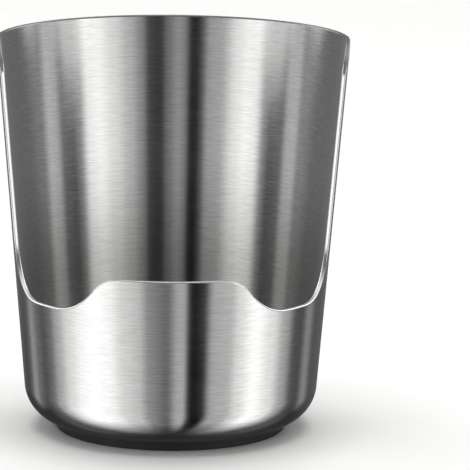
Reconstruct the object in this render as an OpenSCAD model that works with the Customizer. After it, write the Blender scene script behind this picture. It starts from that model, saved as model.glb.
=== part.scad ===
// Open-fronted utensil holder: a drawn and brushed steel cup on a non-slip pad.
// The wall is cut away at the front in a wave. A low lip stands in the middle,
// a hollow at each side of it lets chopsticks or a ladle lie across the cup,
// and the high back keeps tall utensils upright.
// Millimetres, +Z up, front towards -Y, origin at the middle of the pad's underside.

/* [Cup] */
// Height from the table to the rim
overall_h = 112; // [98:1:130]
// Outer diameter at the rim
rim_d = 100; // [92:1:112]
// Outer diameter of the wall, carried down to the underside of the steel
base_d = 82; // [76:1:88]
// Thickness of the sheet
wall_t = 1.3; // [1:0.1:1.8]
// Outer radius between the wall and the base
corner_r = 11; // [8:0.5:13]
// Radius of the polished arrises of the sheet
edge_r = 0.35; // [0.2:0.05:0.45]

/* [Front cut-out] */
// Height of the front lip above the table
lip_h = 50.5; // [46:0.5:58]
// Level part of the front lip, in degrees round the axis
lip_angle = 36; // [20:1:48]
// Radius of the shoulder where the lip falls towards a hollow
shoulder_r = 12; // [6:0.5:16]
// Height of the lowest part of the two hollows above the table
hollow_h = 40; // [34:0.5:44]
// Where a hollow becomes level, in degrees from the front
hollow_angle = 47; // [42:1:52]
// Radius from a hollow up to the upright edge
hollow_r = 15.5; // [10:0.5:17]
// Opening between the feet of the two upright edges, in degrees round the axis
opening_angle = 158; // [150:1:170]
// How far each upright edge leans back up to its top, in degrees round the axis
upright_lean = 0.5; // [0.3:0.1:3]
// Height that the swept upper corner takes off the upright edge
sweep_drop = 9; // [5:0.1:13]
// Length along the wall over which the swept corner runs out into the rim
sweep_run = 12.2; // [9:0.1:24]
// Radius that softens the top of the upright edge
sweep_corner_r = 5; // [2:0.5:7]

/* [Base] */
// Diameter of the non-slip pad
pad_d = 65.6; // [58:0.2:67]
// Height that the pad holds the steel above the table
pad_lift = 2; // [1.2:0.1:4]
// Radius of the pad's lower edge
pad_edge_r = 0.4; // [0.2:0.1:0.8]
// Depth of the seat pressed into the base for the pad
seat_depth = 0.8; // [0.5:0.1:1.2]
// Clearance round the pad in its seat
seat_gap = 0.2; // [0.1:0.05:0.4]
// Thickness of the bonding film between the pad and the steel
film_t = 0.2; // [0.1:0.05:0.3]
// Distance from the edge of the film to the edge of the pad
film_inset = 1.5; // [1:0.5:4]

/* [Hidden] */

// Spacing of the sections of the cut, in degrees round the axis
section_step = 3;
// Turn between two points of a rounded outline, in degrees
arc_step = 6;
// How far the cut reaches past the two faces of the sheet
past_face = 0.3;
// Extra height of the drawn cup before its mouth is trimmed
trim_allowance = 2;
// Reach of the trimming form inside and outside of the sheet, and above the rim
form_reach = 8;
round_fn = 180;

rim_r = rim_d / 2;
base_r = base_d / 2;
pad_r = pad_d / 2;
wall_lean = atan((rim_r - base_r) / (overall_h - pad_lift));
// Thickness of the sheet measured level, towards the axis
level_t = wall_t / cos(wall_lean);
floor_z = pad_lift + seat_depth + wall_t;
inner_corner_r = corner_r - wall_t;

// Radius of the wall's outer face at height z
function wall_r(z) = base_r + (z - pad_lift) * tan(wall_lean);

// Radius at which a corner arc of radius r stands, where it touches a level face at height z
// and the face of the wall that lies depth inside the outer one
function corner_centre(r, z, depth) = wall_r(z + r) - depth - r / cos(wall_lean);

// Half of the cup's section, filled, with its floor at height z, its corner of radius r
// and its wall lying depth inside the outer face
module filled_section(r, z, depth, top) {
    centre = corner_centre(r, z, depth);
    translate([centre, z + r])
        circle(r, $fn = round_fn);
    polygon([
        [0, z],
        [centre, z],
        [centre + r * cos(wall_lean), z + r - r * sin(wall_lean)],
        [wall_r(top) - depth, top],
        [0, top]
    ]);
}

// The cup as it is drawn, before its mouth is trimmed
module drawn_cup() {
    drawn_h = overall_h + trim_allowance;
    rotate_extrude($fn = round_fn)
        difference() {
            filled_section(corner_r, pad_lift, 0, drawn_h);
            filled_section(inner_corner_r, floor_z, level_t, drawn_h + trim_allowance);
            square([pad_r + seat_gap, pad_lift + seat_depth]);
        }
}

// Outlines are lists of points [along, height, normal along, normal height], where the normal
// points into the steel. Each stretch leaves out its first point, which ends the stretch before.

// Arc of an outline: inward is 1 where the steel is inside the arc and -1 where it is outside
function arc_points(centre, r, from, to, inward) =
    let (steps = ceil(abs(to - from) / arc_step))
    [for (i = [1 : 1 : steps])
        let (a = from + (to - from) * i / steps)
        [centre[0] + r * cos(a), centre[1] + r * sin(a), -inward * cos(a), -inward * sin(a)]];

// Level stretch of an outline
function level_points(from, to, height) =
    let (steps = ceil((to - from) / (section_step * mm_per_degree)))
    [for (i = [1 : 1 : steps]) [from + (to - from) * i / steps, height, 0, -1]];

// The outline of the mouth is drawn on the unrolled wall: millimetres along the wall
// at the height of the lip, and millimetres above the table.
mm_per_degree = wall_r(lip_h) * PI / 180;
lip_end = lip_angle / 2 * mm_per_degree;
hollow_start = hollow_angle * mm_per_degree;
upright_foot = opening_angle / 2 * mm_per_degree;
hollow_end = upright_foot - hollow_r;
upright_top = upright_foot + upright_lean * mm_per_degree;
sweep_end = upright_top + sweep_run;
back_middle = 180 * mm_per_degree;

// Shoulder and hollow are two arcs that touch where the wave changes its bend
wave_drop = lip_h - hollow_h;
wave_run = hollow_start - lip_end;
both_radii = (wave_run ^ 2 + wave_drop ^ 2) / (2 * wave_drop);
front_hollow_r = both_radii - shoulder_r;
wave_slope = acos((both_radii - wave_drop) / both_radii);

// The swept corner is a wide arc that runs out into the rim and a smaller one at its foot
sweep_r = (sweep_run ^ 2 + sweep_drop ^ 2) / (2 * sweep_drop);
sweep_z = overall_h - sweep_r;
soft_along = upright_top + sweep_corner_r;
soft_z = sweep_z + sqrt((sweep_r - sweep_corner_r) ^ 2 - (sweep_end - soft_along) ^ 2);
soft_turn = atan2(soft_z - sweep_z, soft_along - sweep_end);

// Outline of the mouth from the middle of the front round to the middle of the back
front_middle = [0, lip_h, 0, -1];
half_outline = concat(
    level_points(0, lip_end, lip_h),
    arc_points([lip_end, lip_h - shoulder_r], shoulder_r, 90, 90 - wave_slope, 1),
    arc_points([hollow_start, hollow_h + front_hollow_r], front_hollow_r, 270 - wave_slope, 270, -1),
    level_points(hollow_start, hollow_end, hollow_h),
    arc_points([hollow_end, hollow_h + hollow_r], hollow_r, 270, 360, -1),
    [[upright_top, soft_z, 1, 0]],
    arc_points([soft_along, soft_z], sweep_corner_r, 180, soft_turn, 1),
    arc_points([sweep_end, sweep_z], sweep_r, soft_turn, 90, 1),
    level_points(sweep_end, back_middle, overall_h)
);
mirrored_half = [for (i = [len(half_outline) - 2 : -1 : 0])
    let (p = half_outline[i])
    [-p[0], p[1], -p[2], p[3]]];
mouth = concat([front_middle], half_outline, mirrored_half);

// Underside of the trimming form as [depth inside the outer face, offset into the steel].
// The offsets round both arrises of the sheet.
nip = edge_r * (1 - cos(45));
past_offset = edge_r + past_face * sin(45) / (1 - cos(45));
form_top = overall_h + form_reach;
stations = [
    [-form_reach, past_offset],
    [-past_face, past_offset],
    [nip, nip],
    [edge_r, 0],
    [level_t - edge_r, 0],
    [level_t - nip, nip],
    [level_t + past_face, past_offset],
    [level_t + form_reach, past_offset]
];

// Closed ring of points through one place of the outline: the underside, then the top,
// whose outer point leans out with the wall
function ring(p) =
    let (
        underside = [for (s = stations)
            let (
                angle = (p[0] + p[2] * s[1]) / mm_per_degree,
                z = p[1] + p[3] * s[1],
                r = wall_r(z) - s[0]
            )
            [r * sin(angle), -r * cos(angle), z]],
        outer = underside[0],
        inner = underside[len(stations) - 1],
        spread = (wall_r(form_top) + form_reach) / norm([outer[0], outer[1]])
    )
    concat(underside, [
        [inner[0], inner[1], form_top],
        [outer[0] * spread, outer[1] * spread, form_top]
    ]);

// The form that trims the mouth of the cup, square to the wall all the way round
module trimming_form() {
    rings = [for (p = mouth) ring(p)];
    size = len(rings[0]);
    count = len(rings);
    points = [for (r = rings) each r];
    faces = [for (i = [0 : count - 1], j = [0 : size - 1])
        let (
            next_i = (i + 1) % count * size,
            next_j = (j + 1) % size,
            a = i * size + j,
            b = i * size + next_j,
            c = next_i + next_j,
            d = next_i + j
        )
        each [[a, c, b], [a, d, c]]];
    polyhedron(points, faces, convexity = 10);
}

// Drawn and brushed steel cup, its mouth trimmed to the wave and the high back
module steel_body() {
    color("silver")
        difference() {
            drawn_cup();
            trimming_form();
        }
}

// Moulded silicone disc that fills the seat and stands proud of it
module foot_pad() {
    pad_h = pad_lift + seat_depth - film_t;
    color("#26282a")
        rotate_extrude($fn = round_fn) {
            translate([pad_r - pad_edge_r, pad_edge_r])
                circle(pad_edge_r, $fn = round_fn);
            square([pad_r - pad_edge_r, pad_h]);
            translate([0, pad_edge_r])
                square([pad_r, pad_h - pad_edge_r]);
        }
}

// Thin double-sided film that bonds the pad to the base
module bonding_film() {
    color("ivory")
        translate([0, 0, pad_lift + seat_depth - film_t])
            cylinder(h = film_t, r = pad_r - film_inset, $fn = round_fn);
}

steel_body();
foot_pad();
bonding_film();
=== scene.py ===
import math

import bpy
from mathutils import Matrix, Vector


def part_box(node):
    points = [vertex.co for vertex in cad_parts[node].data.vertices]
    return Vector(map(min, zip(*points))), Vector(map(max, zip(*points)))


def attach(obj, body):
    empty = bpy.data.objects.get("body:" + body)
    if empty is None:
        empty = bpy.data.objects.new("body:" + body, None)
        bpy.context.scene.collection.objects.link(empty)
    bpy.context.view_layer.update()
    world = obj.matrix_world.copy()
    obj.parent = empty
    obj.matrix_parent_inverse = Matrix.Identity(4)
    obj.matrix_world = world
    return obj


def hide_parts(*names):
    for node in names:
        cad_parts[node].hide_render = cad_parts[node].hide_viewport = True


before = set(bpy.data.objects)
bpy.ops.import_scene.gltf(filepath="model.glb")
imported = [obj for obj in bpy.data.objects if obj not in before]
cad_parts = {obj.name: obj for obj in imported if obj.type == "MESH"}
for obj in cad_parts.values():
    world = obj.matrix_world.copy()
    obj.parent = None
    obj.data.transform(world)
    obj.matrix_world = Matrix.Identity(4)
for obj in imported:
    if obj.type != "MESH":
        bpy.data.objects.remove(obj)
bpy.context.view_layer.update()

MM = 0.001

# Sizes of the holder in millimetres. The height and the pad come from the frame, and the rest
# repeats the part's source.
steel_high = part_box("steel_body")[1]
pad_low, pad_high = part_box("foot_pad")

RIM_HEIGHT = steel_high[2] / MM
STEEL_FOOT = 2.0
# A hair less than the source's 50 mm, so that the finer mesh stays inside the frame's box
RIM_RADIUS = 49.995
BASE_RADIUS = 41.0
SHEET = 1.3
CORNER_RADIUS = 11.0
ARRIS_RADIUS = 0.35
# The two upright edges are buffed off a little towards the inside, where a hand reaches in
EDGE_TILT = 15.0

LIP_HEIGHT = 50.5
LIP_ANGLE = 36.0
SHOULDER_RADIUS = 12.0
HOLLOW_HEIGHT = 40.0
HOLLOW_ANGLE = 47.0
HOLLOW_RADIUS = 15.5
OPENING_ANGLE = 158.0
UPRIGHT_LEAN = 0.5
SWEEP_DROP = 9.0
SWEEP_RUN = 12.2
SWEEP_CORNER_RADIUS = 5.0

PAD_RADIUS = (pad_high[0] - pad_low[0]) / 2 / MM
PAD_EDGE_RADIUS = 0.4
SEAT_DEPTH = 0.8
SEAT_GAP = 0.2

# Only the mesh rounds the pad's upper edge, hidden in its seat, and has a ring of faces of its own
# inside the lower edge
PAD_TOP_RADIUS = 0.15
PAD_RING_RADIUS = PAD_RADIUS - 3.0

# Fineness of the meshes
TURN_STEP = 1.2        # degrees round the axis, along a level stretch of the mouth
ARC_STEP = 3.0         # degrees of turn between two points of an outline's arc
WALL_ROWS = 44         # rows of faces from the foot of the wall to its mouth
ARRIS_STEPS = 5        # facets round one arris
CORNER_STEPS = 22      # facets round the outer corner of the base, and round the inner one
FLOOR_STEPS = 22       # rings of faces on the floor
SEAT_STEPS = 14        # rings of faces on the ceiling of the pad's seat
SEAT_EDGE_STEPS = 2    # rings of faces on the seat's upright edge
PAD_EDGE_STEPS = 6     # facets round the lower edge of the pad
PAD_TOP_STEPS = 4      # facets round its upper edge
DISC_COLUMNS = 180     # columns of faces round the pad

# The rows of the plain wall end this far from the cut edge. One more row stands beside each
# arris on the face of the sheet and one on the cut edge, so that only the arris is shaded round.
MOUTH_MARGIN = 1.6
FACE_BESIDE_ARRIS = 0.12
EDGE_BESIDE_ARRIS = 0.06

# A normal of the mouth's outline counts as level from here, where 1 is level
LEVEL_NORMAL = 0.999
# Points of a rolled blank that are nearer to each other than this are joined
SEAM_DISTANCE = 0.002
# The brushing map reaches 1 over 100 mm
UV_PER_METRE = 10

LEAN = math.atan((RIM_RADIUS - BASE_RADIUS) / (RIM_HEIGHT - STEEL_FOOT))
LEVEL_SHEET = SHEET / math.cos(LEAN)
FLOOR_HEIGHT = STEEL_FOOT + SEAT_DEPTH + SHEET
INNER_CORNER_RADIUS = CORNER_RADIUS - SHEET


def wall_radius(height):
    """Radius of the wall's outer face."""
    return BASE_RADIUS + (height - STEEL_FOOT) * math.tan(LEAN)


MM_PER_DEGREE = wall_radius(LIP_HEIGHT) * math.pi / 180
MM_PER_TURN = MM_PER_DEGREE * 360


# Node trees

def add(tree, kind, inputs=None, **settings):
    """Adds a node. Settings name its properties, and inputs its sockets, by name or number."""
    node = tree.nodes.new(kind)
    for name, value in settings.items():
        setattr(node, name, value)
    for name, value in (inputs or {}).items():
        socket = node.inputs[name]
        if isinstance(value, bpy.types.NodeSocket):
            tree.links.new(value, socket)
        else:
            socket.default_value = value
    return node


def colour(hex_value):
    """An sRGB hex colour as a linear one."""
    steps = (int(hex_value[i:i + 2], 16) / 255 for i in (1, 3, 5))
    return (*(s / 12.92 if s <= 0.04045 else ((s + 0.055) / 1.055) ** 2.4 for s in steps), 1)


def grey(level):
    """A linear brightness as a colour."""
    return level, level, level, 1


def roll_round_axis_tree():
    """Rolls a flat blank round the axis: x is the distance along the wall, y the distance from
    the axis and z the height. It joins the seam and the poles and sets the two finishes."""
    tree = bpy.data.node_groups.new("roll_round_axis", "GeometryNodeTree")
    face = tree.interface
    face.new_socket("Geometry", in_out="INPUT", socket_type="NodeSocketGeometry")
    face.new_socket("Along Per Turn", in_out="INPUT", socket_type="NodeSocketFloat")
    face.new_socket("Seam Distance", in_out="INPUT", socket_type="NodeSocketFloat")
    face.new_socket("Finish", in_out="INPUT", socket_type="NodeSocketMaterial")
    face.new_socket("Cut Edge Finish", in_out="INPUT", socket_type="NodeSocketMaterial")
    face.new_socket("Geometry", in_out="OUTPUT", socket_type="NodeSocketGeometry")
    given = add(tree, "NodeGroupInput").outputs
    place = add(tree, "GeometryNodeInputPosition").outputs["Position"]
    flat = add(tree, "ShaderNodeSeparateXYZ", {0: place}).outputs
    turns = add(tree, "ShaderNodeMath", {0: flat["X"], 1: given["Along Per Turn"]},
                operation="DIVIDE").outputs[0]
    angle = add(tree, "ShaderNodeMath", {0: turns, 1: math.tau}, operation="MULTIPLY").outputs[0]
    sine = add(tree, "ShaderNodeMath", {0: angle}, operation="SINE").outputs[0]
    cosine = add(tree, "ShaderNodeMath", {0: angle}, operation="COSINE").outputs[0]
    across = add(tree, "ShaderNodeMath", {0: flat["Y"], 1: sine}, operation="MULTIPLY").outputs[0]
    back = add(tree, "ShaderNodeMath", {0: flat["Y"], 1: cosine}, operation="MULTIPLY").outputs[0]
    forward = add(tree, "ShaderNodeMath", {0: back, 1: -1.0}, operation="MULTIPLY").outputs[0]
    rolled = add(tree, "ShaderNodeCombineXYZ", {0: across, 1: forward, 2: flat["Z"]}).outputs[0]
    moved = add(tree, "GeometryNodeSetPosition",
                {"Geometry": given["Geometry"], "Position": rolled}).outputs[0]
    joined = add(tree, "GeometryNodeMergeByDistance",
                 {"Geometry": moved, "Distance": given["Seam Distance"]}).outputs[0]
    smooth = add(tree, "GeometryNodeSetShadeSmooth", {"Geometry": joined}).outputs[0]
    real = add(tree, "GeometryNodeRealizeInstances", {"Geometry": smooth}).outputs[0]
    finished = add(tree, "GeometryNodeSetMaterial",
                   {"Geometry": real, "Material": given["Finish"]}).outputs[0]
    cut = add(tree, "GeometryNodeInputNamedAttribute", {"Name": "cut_edge"},
              data_type="BOOLEAN").outputs["Attribute"]
    edged = add(tree, "GeometryNodeSetMaterial",
                {"Geometry": finished, "Selection": cut,
                 "Material": given["Cut Edge Finish"]}).outputs[0]
    add(tree, "NodeGroupOutput", {"Geometry": edged})
    return tree


ROLL = roll_round_axis_tree()


def roll(name, blank, finish, cut_finish=None):
    """Rolls a blank with the tree and returns the plain mesh as an object at the origin."""
    flat = bpy.data.objects.new(name + "_blank", blank)
    bpy.context.scene.collection.objects.link(flat)
    modifier = flat.modifiers.new("roll", "NODES")
    modifier.node_group = ROLL
    sockets = {s.name: s.identifier for s in ROLL.interface.items_tree if s.in_out == "INPUT"}
    modifier[sockets["Along Per Turn"]] = MM_PER_TURN * MM
    modifier[sockets["Seam Distance"]] = SEAM_DISTANCE * MM
    modifier[sockets["Finish"]] = finish
    modifier[sockets["Cut Edge Finish"]] = cut_finish or finish
    ready = flat.evaluated_get(bpy.context.evaluated_depsgraph_get())
    mesh = bpy.data.meshes.new_from_object(ready)
    mesh.name = name
    bpy.data.objects.remove(flat)
    piece = bpy.data.objects.new(name, mesh)
    bpy.context.scene.collection.objects.link(piece)
    return piece


def blank_mesh(name, columns, runs, cut_rows=()):
    """Flat grid of faces. A column is a list of points [along, radius, height] in mm, and runs
    gives each point's distance along the section, for the brushing. Faces between a row of
    cut_rows and the next one belong to the cut edge."""
    rows = len(columns[0])
    points = [(a * MM, r * MM, z * MM) for column in columns for a, r, z in column]
    faces = [(i * rows + j, (i + 1) * rows + j, (i + 1) * rows + j + 1, i * rows + j + 1)
             for i in range(len(columns) - 1) for j in range(rows - 1)]
    mesh = bpy.data.meshes.new(name)
    mesh.from_pydata(points, [], faces)
    brushed = mesh.uv_layers.new(name="brushing")
    flat_runs = [r for column in runs for r in column]
    for loop in mesh.loops:
        v = loop.vertex_index
        brushed.data[loop.index].uv = (points[v][0] * UV_PER_METRE,
                                       flat_runs[v] * MM * UV_PER_METRE)
    cut = mesh.attributes.new("cut_edge", "BOOLEAN", "FACE")
    cut.data.foreach_set("value", [j in cut_rows for i in range(len(columns) - 1)
                                   for j in range(rows - 1)])
    return mesh


# The mouth on the unrolled wall

def arc(centre, radius, start, end, inward):
    """Points of an outline's arc as [along, height, normal along, normal height]. The normal
    points into the steel, and inward is 1 where the steel is inside the arc, else -1."""
    steps = max(2, math.ceil(abs(end - start) / ARC_STEP))
    points = []
    for i in range(1, steps + 1):
        a = math.radians(start + (end - start) * i / steps)
        points.append((centre[0] + radius * math.cos(a), centre[1] + radius * math.sin(a),
                       -inward * math.cos(a), -inward * math.sin(a)))
    return points


def straight(start, end):
    """Points of a straight stretch between two outline points, without the first."""
    length = math.hypot(end[0] - start[0], end[1] - start[1])
    steps = max(1, math.ceil(length / (TURN_STEP * MM_PER_DEGREE)))
    return [tuple(s + (e - s) * i / steps for s, e in zip(start, end))
            for i in range(1, steps + 1)]


def mouth_outline():
    """Half of the mouth, from the middle of the lip to the middle of the back, and its mirror."""
    lip_end = LIP_ANGLE / 2 * MM_PER_DEGREE
    hollow_start = HOLLOW_ANGLE * MM_PER_DEGREE
    upright_foot = OPENING_ANGLE / 2 * MM_PER_DEGREE
    hollow_end = upright_foot - HOLLOW_RADIUS
    upright_top = upright_foot + UPRIGHT_LEAN * MM_PER_DEGREE
    sweep_end = upright_top + SWEEP_RUN
    back_middle = 180 * MM_PER_DEGREE

    drop = LIP_HEIGHT - HOLLOW_HEIGHT
    run = hollow_start - lip_end
    both_radii = (run ** 2 + drop ** 2) / (2 * drop)
    front_radius = both_radii - SHOULDER_RADIUS
    slope = math.degrees(math.acos((both_radii - drop) / both_radii))

    sweep_radius = (SWEEP_RUN ** 2 + SWEEP_DROP ** 2) / (2 * SWEEP_DROP)
    sweep_height = RIM_HEIGHT - sweep_radius
    soft_along = upright_top + SWEEP_CORNER_RADIUS
    soft_height = sweep_height + math.sqrt(
        (sweep_radius - SWEEP_CORNER_RADIUS) ** 2 - (sweep_end - soft_along) ** 2)
    soft_turn = math.degrees(math.atan2(soft_height - sweep_height, soft_along - sweep_end))

    half = [(0.0, LIP_HEIGHT, 0.0, -1.0)]
    half += straight(half[-1], (lip_end, LIP_HEIGHT, 0.0, -1.0))
    half += arc((lip_end, LIP_HEIGHT - SHOULDER_RADIUS), SHOULDER_RADIUS, 90, 90 - slope, 1)
    half += arc((hollow_start, HOLLOW_HEIGHT + front_radius), front_radius, 270 - slope, 270, -1)
    half += straight(half[-1], (hollow_end, HOLLOW_HEIGHT, 0.0, -1.0))
    half += arc((hollow_end, HOLLOW_HEIGHT + HOLLOW_RADIUS), HOLLOW_RADIUS, 270, 360, -1)
    half += straight(half[-1], (upright_top, soft_height, 1.0, 0.0))
    half += arc((soft_along, soft_height), SWEEP_CORNER_RADIUS, 180, soft_turn, 1)
    half += arc((sweep_end, sweep_height), sweep_radius, soft_turn, 90, 1)
    half += straight(half[-1], (back_middle, RIM_HEIGHT, 0.0, -1.0))
    mirrored = [(-a, z, -na, nz) for a, z, na, nz in reversed(half[1:])]
    return mirrored + half


def section_arc(centre, radius, start, end, steps):
    """Points of an arc of a section as (radius, height)."""
    turns = (math.radians(start + (end - start) * i / steps) for i in range(steps + 1))
    return [(centre[0] + radius * math.cos(a), centre[1] + radius * math.sin(a)) for a in turns]


def between(start, end, steps):
    """Points from start to end, without the last."""
    return [tuple(s + (e - s) * i / steps for s, e in zip(start, end)) for i in range(steps)]


def runs_along(line, first=0.0):
    """Distance of each point along a line of points, counted from what the first one is given."""
    runs = [first]
    for a, b in zip(line, line[1:]):
        runs.append(runs[-1] + math.dist(a, b))
    return runs


# Half of the cup's section below its walls, as (radius, height): the seat of the pad and the
# outer corner, from the axis to the outer wall, then the inner corner and the floor, back to the
# axis
SEAT_RADIUS = PAD_RADIUS + SEAT_GAP
outer_centre = (wall_radius(STEEL_FOOT + CORNER_RADIUS) - CORNER_RADIUS / math.cos(LEAN),
                STEEL_FOOT + CORNER_RADIUS)
inner_height = FLOOR_HEIGHT + INNER_CORNER_RADIUS
inner_centre = (wall_radius(inner_height) - LEVEL_SHEET - INNER_CORNER_RADIUS / math.cos(LEAN),
                inner_height)
seat_cut = -math.degrees(math.acos((SEAT_RADIUS - outer_centre[0]) / CORNER_RADIUS))
corner_points = section_arc(outer_centre, CORNER_RADIUS, seat_cut, -math.degrees(LEAN),
                            CORNER_STEPS)
seat_top = STEEL_FOOT + SEAT_DEPTH
UNDERSIDE = between((0.0, seat_top), (SEAT_RADIUS, seat_top), SEAT_STEPS)
UNDERSIDE += between((SEAT_RADIUS, seat_top), corner_points[0], SEAT_EDGE_STEPS) + corner_points
INSIDE = section_arc(inner_centre, INNER_CORNER_RADIUS, -math.degrees(LEAN), -90, CORNER_STEPS)
INSIDE += between(INSIDE[-1], (0.0, FLOOR_HEIGHT), FLOOR_STEPS)[1:] + [(0.0, FLOOR_HEIGHT)]

# Distances along the section from the axis, for the brushing
RUN_AT_FOOT = runs_along(UNDERSIDE)[-1]
RUN_AT_RIM = RUN_AT_FOOT + (RIM_HEIGHT - UNDERSIDE[-1][1]) / math.cos(LEAN)
RUN_INSIDE = RUN_AT_RIM + SHEET + (RIM_HEIGHT - INSIDE[0][1]) / math.cos(LEAN)


def rows_across_edge():
    """Rows of points from the outer face over the cut edge to the inner face, as (depth inside
    the outer face, offset into the steel, further offset on an upright edge)."""
    eased = [(ARRIS_RADIUS * (1 - math.cos(math.radians(90 * i / ARRIS_STEPS))),
              ARRIS_RADIUS * (1 - math.sin(math.radians(90 * i / ARRIS_STEPS))))
             for i in range(ARRIS_STEPS + 1)]
    rows = [(0.0, MOUTH_MARGIN), (0.0, ARRIS_RADIUS + FACE_BESIDE_ARRIS)] + eased
    rows += [(ARRIS_RADIUS + EDGE_BESIDE_ARRIS, 0.0)]
    rows += [(LEVEL_SHEET - depth, offset) for depth, offset in reversed(rows)]
    slope = math.tan(math.radians(EDGE_TILT))
    return [(depth, offset,
             slope * max(0.0, depth - ARRIS_RADIUS) if offset < MOUTH_MARGIN else 0.0)
            for depth, offset in rows]


def column_feet(mouth):
    """Where each column of the blank stands along the foot of the wall. The feet stand evenly
    in front of the two upright edges and evenly behind them, so that no two columns cross."""
    lengths = runs_along([(along, height) for along, height, _, _ in mouth])
    middle = lengths[-1] / 2
    # Of the right half only the upright edge has a normal that is level
    upright_runs = (run for (_, _, na, _), run in zip(mouth, lengths) if na > LEVEL_NORMAL)
    to_upright = next(upright_runs) - middle
    beside_upright = OPENING_ANGLE / 2 * MM_PER_DEGREE + 2 * MOUTH_MARGIN
    feet = []
    for length in lengths:
        gone = abs(length - middle)
        if gone < to_upright:
            foot = gone / to_upright * beside_upright
        else:
            share = (gone - to_upright) / (middle - to_upright)
            foot = beside_upright + share * (MM_PER_TURN / 2 - beside_upright)
        feet.append(math.copysign(foot, length - middle))
    return feet


def cup_blank():
    """The sheet of the cup on the unrolled wall, both faces and the rounded cut edge. A column
    of points runs from the axis under the base up the outer face, over the cut edge and down the
    inner face to the axis."""
    wall_foot, inner_foot = UNDERSIDE[-1][1], INSIDE[0][1]
    under_runs, inside_runs = runs_along(UNDERSIDE), runs_along(INSIDE, RUN_INSIDE)
    edge_rows = rows_across_edge()
    # The cut edge is its two arrises and three rows of faces between them
    first_cut = len(UNDERSIDE) + WALL_ROWS + 1
    cut_rows = range(first_cut, first_cut + 2 * ARRIS_STEPS + 3)

    def wall_point(along, height, depth):
        return along, wall_radius(height) - depth, height

    def outer_run(height):
        return RUN_AT_FOOT + (height - wall_foot) / math.cos(LEAN)

    def inner_run(height):
        return RUN_INSIDE - (height - inner_foot) / math.cos(LEAN)

    mouth = mouth_outline()
    columns, runs = [], []
    for (along, height, na, nz), foot_along in zip(mouth, column_feet(mouth)):
        top_along, top_height = along + na * MOUTH_MARGIN, height + nz * MOUTH_MARGIN
        column = [(foot_along, r, z) for r, z in UNDERSIDE]
        run = list(under_runs)
        for k in range(1, WALL_ROWS):
            t = k / WALL_ROWS
            z = wall_foot + (top_height - wall_foot) * t
            column.append(wall_point(foot_along + (top_along - foot_along) * t, z, 0.0))
            run.append(outer_run(z))
        for depth, plain_offset, tilt in edge_rows:
            offset = plain_offset + tilt * na ** 2
            z = height + nz * offset
            column.append(wall_point(along + na * offset, z, depth))
            run.append(outer_run(z) if depth < LEVEL_SHEET / 2 else inner_run(z))
        for k in range(1, WALL_ROWS):
            t = 1 - k / WALL_ROWS
            z = inner_foot + (top_height - inner_foot) * t
            column.append(wall_point(foot_along + (top_along - foot_along) * t, z, LEVEL_SHEET))
            run.append(inner_run(z))
        columns.append(column + [(foot_along, r, z) for r, z in INSIDE])
        runs.append(run + inside_runs)
    return blank_mesh("steel_sheet", columns, runs, cut_rows)


def disc_blank(name, section):
    """A turned piece: the same section, from the axis to the axis, at every column."""
    columns = [[((i / DISC_COLUMNS - 0.5) * MM_PER_TURN, r, z) for r, z in section]
               for i in range(DISC_COLUMNS + 1)]
    return blank_mesh(name, columns, [runs_along(section)] * (DISC_COLUMNS + 1))


# Finishes. A pattern's size is given as how many of its marks lie on a millimetre.
# A real groove of a 240 grit belt is 0.05 mm wide, too fine to show, so it's drawn 0.23 mm wide
# and 4 mm long
GROOVES_ALONG, GROOVES_ACROSS = 0.25, 4.3
# Streaks where the belt pressed harder: 0.4 mm wide and 17 mm long
STREAKS_ALONG, STREAKS_ACROSS = 0.06, 2.4
# Soft clouds of handling, 25 mm across
HANDLING = 0.04
# Marks of a sisal wheel with a fine compound, drawn 0.7 mm apart so that they show
WHEEL_MARKS = 1.4
# Grain of an eroded mould, 0.25 mm across
MOULD_GRAIN = 4.0
# Dust in patches 4 mm across
DUST = 0.26
# Cloudiness of the bonding film, 3 mm across
FILM_CLOUDS = 0.3

# Most values of a single noise lie between these two, and most of the grooves with their streaks
# between the other two
NOISE_LOW, NOISE_HIGH = 0.3, 0.7
BRUSHING_LOW, BRUSHING_HIGH = 0.42, 0.82

# Painted shade inside the cup begins this many millimetres below the rim and is full at the second
SHADE_DEPTH_FROM, SHADE_DEPTH_TO = 38.0, 80.0
# Painted shade greys the cut edge from this many millimetres below the rim, full at the second
RIM_SHADE_FROM, RIM_SHADE_TO = 8.0, 6.0


def new_material(name):
    """A material with its Principled shader, its tree and its shader node."""
    made = bpy.data.materials.new(name)
    made.use_nodes = True
    return made, made.node_tree, made.node_tree.nodes["Principled BSDF"]


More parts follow.
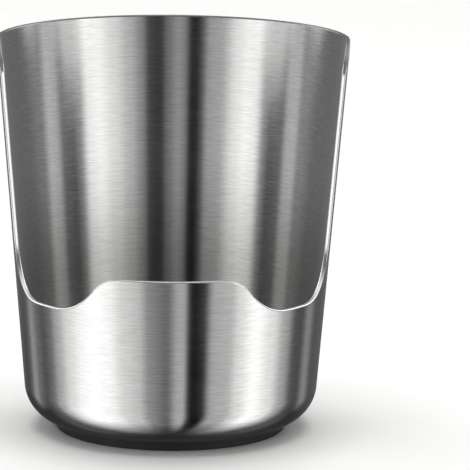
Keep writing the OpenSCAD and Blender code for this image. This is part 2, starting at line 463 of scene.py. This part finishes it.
def brushed_stainless_steel():
    """Stainless steel sheet (18/8), drawn to a cup and brushed round its axis with a fine belt.
    The grooves run round the cup, so light smears up and down across them and stays crisp along
    them, and each groove is a hair lighter or darker than the next."""
    made, tree, shader = new_material("brushed_stainless_steel")
    shader.inputs["Metallic"].default_value = 1.0
    shader.inputs["Anisotropic"].default_value = 0.82
    shader.inputs["Anisotropic Rotation"].default_value = 0.25
    place = add(tree, "ShaderNodeTexCoord").outputs
    round_place = add(tree, "ShaderNodeSeparateXYZ", {0: place["Object"]}).outputs
    along_section = add(tree, "ShaderNodeSeparateXYZ", {0: place["UV"]}).outputs
    run = add(tree, "ShaderNodeMath", {0: along_section["Y"], 1: 1 / UV_PER_METRE},
              operation="MULTIPLY").outputs[0]
    brushed = add(tree, "ShaderNodeCombineXYZ",
                  {0: round_place["X"], 1: round_place["Y"], 2: run}).outputs[0]
    # Both patterns are long round the cup and narrow along its section
    grooves_scale = (GROOVES_ALONG / MM, GROOVES_ALONG / MM, GROOVES_ACROSS / MM)
    grooves_place = add(tree, "ShaderNodeMapping",
                        {"Vector": brushed, "Scale": grooves_scale}).outputs[0]
    grooves = add(tree, "ShaderNodeTexNoise",
                  {"Vector": grooves_place, "Scale": 1.0, "Detail": 2.0, "Roughness": 0.5},
                  noise_dimensions="3D").outputs["Fac"]
    streaks_scale = (STREAKS_ALONG / MM, STREAKS_ALONG / MM, STREAKS_ACROSS / MM)
    streaks_place = add(tree, "ShaderNodeMapping",
                        {"Vector": brushed, "Scale": streaks_scale}).outputs[0]
    streaks = add(tree, "ShaderNodeTexNoise",
                  {"Vector": streaks_place, "Scale": 1.0, "Detail": 1.0, "Roughness": 0.5},
                  noise_dimensions="3D").outputs["Fac"]
    # The streaks are a quarter as strong as the grooves
    faint_streaks = add(tree, "ShaderNodeMath", {0: streaks, 1: 0.24},
                        operation="MULTIPLY").outputs[0]
    clouds = add(tree, "ShaderNodeTexNoise",
                 {"Vector": place["Object"], "Scale": HANDLING / MM, "Detail": 2.0},
                 noise_dimensions="3D").outputs["Fac"]
    mixed = add(tree, "ShaderNodeMath", {0: grooves, 1: faint_streaks},
                operation="ADD").outputs[0]
    shade = add(tree, "ShaderNodeMapRange", {"Value": mixed, "From Min": BRUSHING_LOW,
                                             "From Max": BRUSHING_HIGH}).outputs[0]
    tint = add(tree, "ShaderNodeMix", {"Factor": shade, "A": colour("#C5C5C4"),
                                       "B": colour("#D9D9D8")}, data_type="RGBA")
    # Inside, the colour is painted darker with depth: painted shade for the shade deep in the cup
    depth = add(tree, "ShaderNodeMapRange",
                {"Value": run, "From Min": (RUN_AT_RIM + SHADE_DEPTH_FROM) * MM,
                 "From Max": (RUN_AT_RIM + SHADE_DEPTH_TO) * MM},
                interpolation_type="SMOOTHSTEP").outputs[0]
    painted_depth_shade = add(tree, "ShaderNodeMix", {"Factor": depth, "A": tint.outputs["Result"],
                                       "B": colour("#BDBDBC")}, data_type="RGBA",
               blend_type="MULTIPLY")
    tree.links.new(painted_depth_shade.outputs["Result"], shader.inputs["Base Color"])
    rough_grain = add(tree, "ShaderNodeMapRange",
                      {"Value": mixed, "From Min": BRUSHING_LOW, "From Max": BRUSHING_HIGH,
                       "To Min": 0.15, "To Max": 0.172}).outputs[0]
    rough_clouds = add(tree, "ShaderNodeMapRange",
                       {"Value": clouds, "From Min": NOISE_LOW, "From Max": NOISE_HIGH,
                        "To Min": -0.012, "To Max": 0.012}).outputs[0]
    rough = add(tree, "ShaderNodeMath", {0: rough_grain, 1: rough_clouds},
                operation="ADD").outputs[0]
    tree.links.new(rough, shader.inputs["Roughness"])
    bump = add(tree, "ShaderNodeBump", {"Height": grooves, "Strength": 0.08,
                                        "Distance": 0.01 * MM})
    tree.links.new(bump.outputs["Normal"], shader.inputs["Normal"])
    tangent = add(tree, "ShaderNodeTangent", direction_type="UV_MAP", uv_map="brushing")
    tree.links.new(tangent.outputs["Tangent"], shader.inputs["Tangent"])
    return made


def buffed_edge_painted_light():
    """The same steel where the trimmed edge was eased and buffed on a sisal wheel, with faint
    marks of the wheel along it. Its colour is painted lighter than the brushed faces, a painted
    highlight that brightens the lines of light on the edge; towards the rim it is painted grey,
    a painted shade."""
    made, tree, shader = new_material("buffed_edge_painted_light")
    shader.inputs["Metallic"].default_value = 1.0
    place = add(tree, "ShaderNodeTexCoord").outputs["Object"]
    marks = add(tree, "ShaderNodeTexNoise",
                {"Vector": place, "Scale": WHEEL_MARKS / MM, "Detail": 2.0},
                noise_dimensions="3D").outputs["Fac"]
    # The lighter tint is a painted highlight on the edge
    tint = add(tree, "ShaderNodeMix", {"Factor": marks, "A": colour("#E6E6E4"),
                                       "B": colour("#F6F6F4")}, data_type="RGBA")
    # Painted shade: the cut edge is greyed at the rim and swept corners, for their dark line
    height = add(tree, "ShaderNodeSeparateXYZ", {0: place}).outputs["Z"]
    rim_shade_share = add(tree, "ShaderNodeMapRange",
                   {"Value": height, "From Min": (RIM_HEIGHT - RIM_SHADE_FROM) * MM,
                    "From Max": (RIM_HEIGHT - RIM_SHADE_TO) * MM}).outputs[0]
    rim_painted_shade = add(tree, "ShaderNodeMix", {"Factor": rim_shade_share, "A": tint.outputs["Result"],
                                         "B": colour("#9E9E9D")}, data_type="RGBA",
                 blend_type="MULTIPLY")
    tree.links.new(rim_painted_shade.outputs["Result"], shader.inputs["Base Color"])
    rough = add(tree, "ShaderNodeMapRange",
                {"Value": marks, "From Min": NOISE_LOW, "From Max": NOISE_HIGH,
                 "To Min": 0.25, "To Max": 0.3}).outputs[0]
    tree.links.new(rough, shader.inputs["Roughness"])
    return made


def moulded_silicone_rubber():
    """Black silicone rubber, compression moulded in an eroded steel mould: matt, faintly grained,
    and a little dusty as silicone always is."""
    made, tree, shader = new_material("moulded_silicone_rubber")
    shader.inputs["IOR"].default_value = 1.41
    place = add(tree, "ShaderNodeTexCoord").outputs["Object"]
    grain = add(tree, "ShaderNodeTexNoise",
                {"Vector": place, "Scale": MOULD_GRAIN / MM, "Detail": 2.0},
                noise_dimensions="3D").outputs["Fac"]
    dust = add(tree, "ShaderNodeTexNoise", {"Vector": place, "Scale": DUST / MM, "Detail": 3.0},
               noise_dimensions="3D").outputs["Fac"]
    tint = add(tree, "ShaderNodeMix", {"Factor": dust, "A": colour("#1C1C1D"),
                                       "B": colour("#2B2B2C")}, data_type="RGBA")
    tree.links.new(tint.outputs["Result"], shader.inputs["Base Color"])
    rough = add(tree, "ShaderNodeMapRange",
                {"Value": dust, "From Min": NOISE_LOW, "From Max": NOISE_HIGH,
                 "To Min": 0.6, "To Max": 0.72}).outputs[0]
    tree.links.new(rough, shader.inputs["Roughness"])
    bump = add(tree, "ShaderNodeBump", {"Height": grain, "Strength": 0.25,
                                        "Distance": 0.05 * MM})
    tree.links.new(bump.outputs["Normal"], shader.inputs["Normal"])
    return made


def acrylic_bonding_film():
    """Acrylic transfer tape between the pad and the steel: milky, soft and slightly cloudy."""
    made, tree, shader = new_material("acrylic_bonding_film")
    shader.inputs["IOR"].default_value = 1.47
    place = add(tree, "ShaderNodeTexCoord").outputs["Object"]
    cloud = add(tree, "ShaderNodeTexNoise",
                {"Vector": place, "Scale": FILM_CLOUDS / MM, "Detail": 2.0},
                noise_dimensions="3D").outputs["Fac"]
    tint = add(tree, "ShaderNodeMix", {"Factor": cloud, "A": colour("#DDD8CC"),
                                       "B": colour("#EEEBE2")}, data_type="RGBA")
    tree.links.new(tint.outputs["Result"], shader.inputs["Base Color"])
    rough = add(tree, "ShaderNodeMapRange",
                {"Value": cloud, "From Min": NOISE_LOW, "From Max": NOISE_HIGH,
                 "To Min": 0.35, "To Max": 0.5}).outputs[0]
    tree.links.new(rough, shader.inputs["Roughness"])
    return made


def pale_paper():
    """Seamless white studio paper."""
    made, tree, shader = new_material("white_studio_paper")
    shader.inputs["Base Color"].default_value = colour("#F4F4F3")
    shader.inputs["Roughness"].default_value = 0.9
    shader.inputs["Specular IOR Level"].default_value = 0.0
    return made


# Pieces
steel_body = roll("steel_cup", cup_blank(), brushed_stainless_steel(), buffed_edge_painted_light())
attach(steel_body, "root")
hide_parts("steel_body")
# The steel shows the studio's lights and neither itself nor the paper
steel_body.visible_glossy = False

pad_top = pad_high[2] / MM
pad_section = [(0.0, 0.0), (PAD_RADIUS / 2, 0.0), (PAD_RING_RADIUS, 0.0)]
pad_section += section_arc((PAD_RADIUS - PAD_EDGE_RADIUS, PAD_EDGE_RADIUS), PAD_EDGE_RADIUS,
                           -90, 0, PAD_EDGE_STEPS)
pad_section += section_arc((PAD_RADIUS - PAD_TOP_RADIUS, pad_top - PAD_TOP_RADIUS),
                           PAD_TOP_RADIUS, 0, 90, PAD_TOP_STEPS)
pad_section += [(PAD_RADIUS / 2, pad_top), (0.0, pad_top)]
foot = roll("silicone_foot", disc_blank("foot_disc", pad_section), moulded_silicone_rubber())
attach(foot, "root")
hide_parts("foot_pad")

film = bpy.data.objects["bonding_film"]
film.data.materials.clear()
film.data.materials.append(acrylic_bonding_film())

# Studio, in metres
FLOOR_RADIUS = 4.0
COVE_RADIUS = 1.2
PAPER_HEIGHT = 2.6
# Beside the cup the floor has faces of its own, out to this radius
NEAR_RADIUS = 0.3
PAPER_COLUMNS = 96
COVE_STEPS = 12


def seamless_paper():
    """Paper on a round floor, which turns up into a wall all round."""
    section = [(0.0, 0.0), (NEAR_RADIUS, 0.0), (FLOOR_RADIUS, 0.0)]
    section += section_arc((FLOOR_RADIUS, COVE_RADIUS), COVE_RADIUS, -90, 0, COVE_STEPS)
    section += [(FLOOR_RADIUS + COVE_RADIUS, PAPER_HEIGHT)]
    angles = [math.tau * i / PAPER_COLUMNS for i in range(PAPER_COLUMNS)]
    points = [(r * math.sin(a), -r * math.cos(a), z) for a in angles for r, z in section]
    rows = len(section)
    faces = []
    for i in range(PAPER_COLUMNS):
        here, beside = i * rows, (i + 1) % PAPER_COLUMNS * rows
        faces += [(here + j, beside + j, beside + j + 1, here + j + 1) for j in range(rows - 1)]
    mesh = bpy.data.meshes.new("studio_paper")
    mesh.from_pydata(points, [], faces)
    mesh.shade_smooth()
    mesh.materials.append(pale_paper())
    made = bpy.data.objects.new("studio_paper", mesh)
    bpy.context.scene.collection.objects.link(made)
    return made


paper = seamless_paper()
paper.visible_glossy = False

# The soft boxes and dark flags stand round the table in two rings, one at the height of the lens
# and one below it. Each stop is the azimuth in degrees, to the right of the front, and the
# brightness there.
LEVEL_RING = [
    (-125, 0.19), (-104, 0.33), (-98, 0.64), (-91, 0.6), (-84, 0.15), (-74, 0.08),
    (-70, 0.25), (-60, 1.4), (-53, 1.52), (-46, 1.28), (-33, 0.58), (-25, 0.52), (-20, 0.1),
    (-17, 0.0), (-12, 0.0), (-8, 0.34), (-4, 0.46), (4, 0.22), (8, 0.03), (17, 0.08), (22, 0.4),
    (31, 0.75), (42, 1.18), (54, 1.55), (62, 1.38), (71, 0.25), (76, 0.08), (85, 0.15),
    (93, 0.6), (99, 0.68), (108, 0.27), (126, 0.18),
]
LOW_RING = [
    (-180, 0.08), (-150, 0.05), (-142, 0.12), (-133, 0.45), (-124, 0.2), (-115, 0.1),
    (-106, 0.2), (-97, 0.6), (-84, 1.25), (-73, 1.65), (-62, 1.75), (-50, 1.55), (-36, 1.05),
    (-26, 0.85), (-16, 0.4), (-3, 0.18), (6, 0.65), (10, 0.68), (13, 0.06), (16, 0.0),
    (26, 0.0), (29, 0.34), (32, 0.6), (45, 0.62), (54, 1.1), (69, 1.75), (84, 1.3),
    (97, 0.55), (109, 0.1), (118, 0.08), (128, 0.38), (141, 0.1),
]

# Brightness of the rest of the studio
ABOVE_RINGS = 0.14
BACK_WALL = 0.4
CORNER_BOX = 1.7
UNDER_TABLE = 0.03
BELOW_CORNER_BOX = 0.04
CEILING = 1.0
# For the dark under the table this is added to the height of a direction that points straight back
REAR_DROP = -0.15


def set_stops(band, ring):
    """Sets the stops of a ramp's colour band to those of a ring, over one turn."""
    band.interpolation = "EASE"
    band.elements.remove(band.elements[0])
    for number, (degrees, level) in enumerate(ring):
        where = (degrees + 180) / 360
        stop = band.elements.new(where) if number else band.elements[0]
        stop.position = where
        stop.color = grey(level)


def studio_world():
    """What stands round the cup, as a brightness for each direction. X, Y and Z are those of an
    arrow of length 1 that points there, so Z is -1 straight down and 1 straight up."""
    world = bpy.data.worlds.new("studio")
    world.use_nodes = True
    sky = world.node_tree
    direction = add(sky, "ShaderNodeTexCoord").outputs["Generated"]
    toward = add(sky, "ShaderNodeVectorMath", {0: direction}, operation="NORMALIZE").outputs[0]
    parts = add(sky, "ShaderNodeSeparateXYZ", {0: toward}).outputs
    front = add(sky, "ShaderNodeMath", {0: parts["Y"], 1: -1.0}, operation="MULTIPLY").outputs[0]
    turn = add(sky, "ShaderNodeMath", {0: parts["X"], 1: front}, operation="ARCTAN2").outputs[0]
    azimuth = add(sky, "ShaderNodeMapRange", {"Value": turn, "From Min": -math.pi,
                                              "From Max": math.pi}).outputs[0]
    level_ring = add(sky, "ShaderNodeValToRGB", {"Fac": azimuth})
    set_stops(level_ring.color_ramp, LEVEL_RING)
    low_ring = add(sky, "ShaderNodeValToRGB", {"Fac": azimuth})
    set_stops(low_ring.color_ramp, LOW_RING)
    sideways = add(sky, "ShaderNodeMath", {0: parts["X"]}, operation="ABSOLUTE").outputs[0]
    rearward = add(sky, "ShaderNodeMath", {0: parts["Y"], 1: 0.0}, operation="MAXIMUM").outputs[0]
    drop = add(sky, "ShaderNodeMath", {0: rearward, 1: REAR_DROP}, operation="MULTIPLY").outputs[0]
    dropped = add(sky, "ShaderNodeMath", {0: parts["Z"], 1: drop}, operation="ADD").outputs[0]

    # Shares that grow from 0 at the first number to 1 at the second
    share = {}
    for name, measure, none, full in (
        ("low", parts["Z"], -0.18, -0.27),
        ("above", parts["Z"], 0.1, 0.24),
        ("behind", parts["Y"], 0.15, 0.4),
        ("above_box_foot", parts["Z"], 0.12, 0.26),
        ("in_corner", sideways, 0.35, 0.5),
        ("down", dropped, -0.7, -1.0),
        ("well_behind", parts["Y"], 0.33, 0.5),
        ("below_box", parts["Z"], -0.32, -0.5),
        ("up", parts["Z"], 0.7, 0.96),
    ):
        share[name] = add(sky, "ShaderNodeMapRange", {"Value": measure, "From Min": none,
                                                      "From Max": full}).outputs[0]
    behind_high = add(sky, "ShaderNodeMath", {0: share["behind"], 1: share["above_box_foot"]},
                      operation="MULTIPLY").outputs[0]
    behind_low = add(sky, "ShaderNodeMath", {0: share["well_behind"], 1: share["below_box"]},
                     operation="MULTIPLY").outputs[0]
    back = add(sky, "ShaderNodeMix", {"Factor": share["in_corner"], "A": grey(BACK_WALL),
                                      "B": grey(CORNER_BOX)}, data_type="RGBA").outputs["Result"]

    # Each layer covers the ones before it by its share
    light = level_ring.outputs["Color"]
    for covered, layer in (
        (share["low"], low_ring.outputs["Color"]),
        # Above the soft boxes the studio is dark, up to its pale ceiling
        (share["above"], grey(ABOVE_RINGS)),
        # Behind the cup the wall of the studio is grey, with a large box high in each back corner
        # that draws the light lines on the rounded edges
        (behind_high, back),
        # Straight down it's dark, under the table's edge, and sooner so behind the cup
        (share["down"], grey(UNDER_TABLE)),
        # The corner boxes end above the table, so their lines fade where the base turns in
        (behind_low, grey(BELOW_CORNER_BOX)),
        (share["up"], grey(CEILING)),
    ):
        light = add(sky, "ShaderNodeMix", {"Factor": covered, "A": light, "B": layer},
                    data_type="RGBA").outputs["Result"]
    background = sky.nodes["Background"]
    sky.links.new(light, background.inputs["Color"])
    background.inputs["Strength"].default_value = 1.0
    return world


bpy.context.scene.world = studio_world()


def soft_box(name, width, power, place, target):
    """A square soft box that faces its target."""
    lamp = bpy.data.lights.new(name, "AREA")
    lamp.shape = "SQUARE"
    lamp.size = width
    lamp.energy = power
    box = bpy.data.objects.new(name, lamp)
    box.location = place
    box.rotation_euler = (Vector(target) - Vector(place)).to_track_quat("-Z", "Y").to_euler()
    bpy.context.scene.collection.objects.link(box)
    return box


overhead = soft_box("overhead_soft_box", width=1.8, power=32.5, place=(0.0, 0.3, 2.2),
                    target=(0.0, 0.3, 0.0))
# The steel shows the pale ceiling of the world in its place
overhead.visible_glossy = False

# Small upright cards stand close by, beside and above the rim, and show only in reflections. Each
# is three ellipses, one a little behind the next, so that it fades towards its sides. An ellipse
# has such a share of the card's width, and its power goes by the same shares.
CARD_SHARES = (0.7, 1.0, 1.3)
CARD_SPACING = 0.01
CARD_HEIGHT = 0.15


def upright_card(name, width, power, place):
    """A card that faces the axis. The spacing of its ellipses is a share of its distance."""
    for number, share in enumerate(CARD_SHARES):
        ellipse_place = (place[0] * (1 + CARD_SPACING * number), place[1], place[2])
        card = soft_box(name, width * share, power * share / sum(CARD_SHARES), ellipse_place,
                        target=(0.0, 0.0, place[2]))
        card.data.shape = "ELLIPSE"
        card.data.size_y = CARD_HEIGHT
        card.visible_camera = False
        card.visible_diffuse = False


upright_card("left_card", width=0.11, power=0.034, place=(-0.15, -0.008, 0.166))
upright_card("right_card", width=0.11, power=0.034, place=(0.15, -0.008, 0.166))
upright_card("left_rear_card", width=0.15, power=0.03, place=(-0.143, 0.118, 0.175))
upright_card("right_rear_card", width=0.15, power=0.03, place=(0.143, 0.118, 0.175))

# Camera: a long lens in front of the table, a little above the rim, turned a little to the right
# of the cup and tilted by less than a degree, as the photograph was framed
camera_place = Vector((0.0, -1.0861, 0.2581))
# Degrees to the right, downwards and round the line of sight
PAN, PITCH, ROLL_TILT = 0.9475, 10.57, -0.65
LENS, SENSOR_WIDTH = 297.16, 36.0
pan, pitch, tilt = (math.radians(a) for a in (PAN, PITCH, ROLL_TILT))
forward = Vector((math.sin(pan) * math.cos(pitch), math.cos(pan) * math.cos(pitch),
                  -math.sin(pitch)))
level = Vector((math.cos(pan), -math.sin(pan), 0.0))
upright = level.cross(forward)
right = level * math.cos(tilt) - upright * math.sin(tilt)
up = level * math.sin(tilt) + upright * math.cos(tilt)
view = bpy.data.cameras.new("camera")
view.sensor_width = SENSOR_WIDTH
view.lens = LENS
camera = bpy.data.objects.new("camera", view)
camera.matrix_world = Matrix((
    (right.x, up.x, -forward.x, camera_place.x),
    (right.y, up.y, -forward.y, camera_place.y),
    (right.z, up.z, -forward.z, camera_place.z),
    (0, 0, 0, 1),
))
bpy.context.scene.collection.objects.link(camera)
bpy.context.scene.camera = camera

bpy.context.scene.view_settings.view_transform = "Standard"
